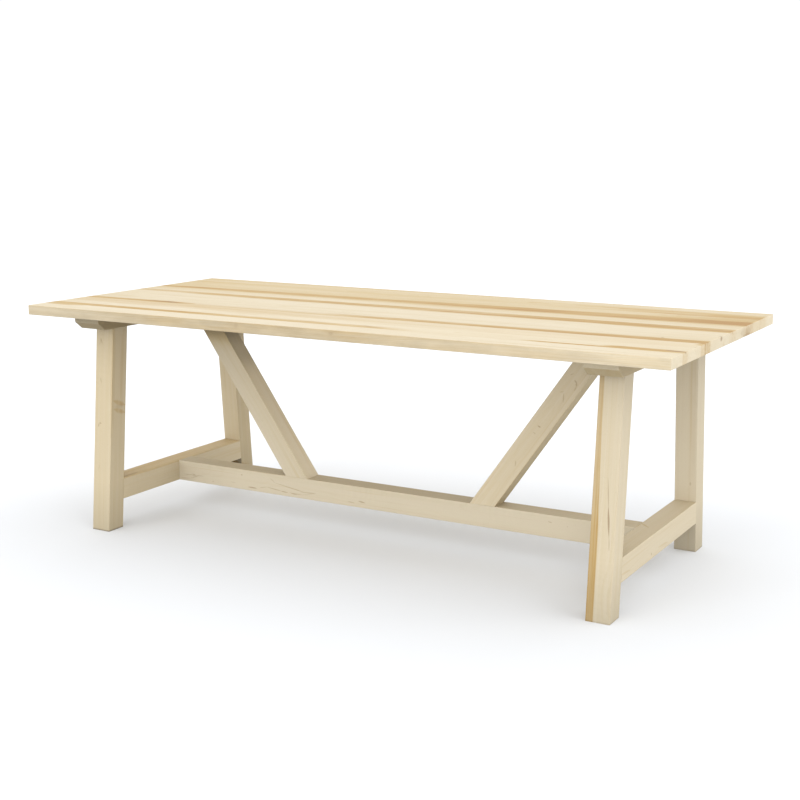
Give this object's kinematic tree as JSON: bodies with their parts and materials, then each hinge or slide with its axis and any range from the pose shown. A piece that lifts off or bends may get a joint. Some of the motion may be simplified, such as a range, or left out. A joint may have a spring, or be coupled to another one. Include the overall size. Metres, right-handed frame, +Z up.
{
  "type": "trestle dining table",
  "caption": "Solid maple trestle dining table: plank top on two splayed A-frames, joined by a low stretcher with two diagonal braces.",
  "frame": {"origin": "on the floor, under the middle of the top", "axes": "+X along the length of the top, +Y across it from front to back, +Z up"},
  "size_m": [2.2, 1, 0.765],
  "materials": {
    "maple_top": "matte oil",
    "maple_base": "matte oil",
    "beech_joinery": "raw",
    "zinc_steel": "zinc plated"
  },
  "bodies": {
    "root": {"top_board_1": "maple_top", "top_board_2": "maple_top", "top_board_3": "maple_top", "top_board_4": "maple_top", "top_board_5": "maple_top", "top_board_6": "maple_top", "top_board_7": "maple_top", "head_beam_left": "maple_base", "leg_front_left": "maple_base", "leg_back_left": "maple_base", "cross_stretcher_left": "maple_base", "head_beam_right": "maple_base", "leg_front_right": "maple_base", "leg_back_right": "maple_base", "cross_stretcher_right": "maple_base", "long_stretcher": "maple_base", "brace_left": "maple_base", "brace_right": "maple_base", "loose_tenons": "beech_joinery", "top_screws": "zinc_steel", "top_washers": "zinc_steel", "brace_screws": "zinc_steel"}
  },
  "joints": []
}
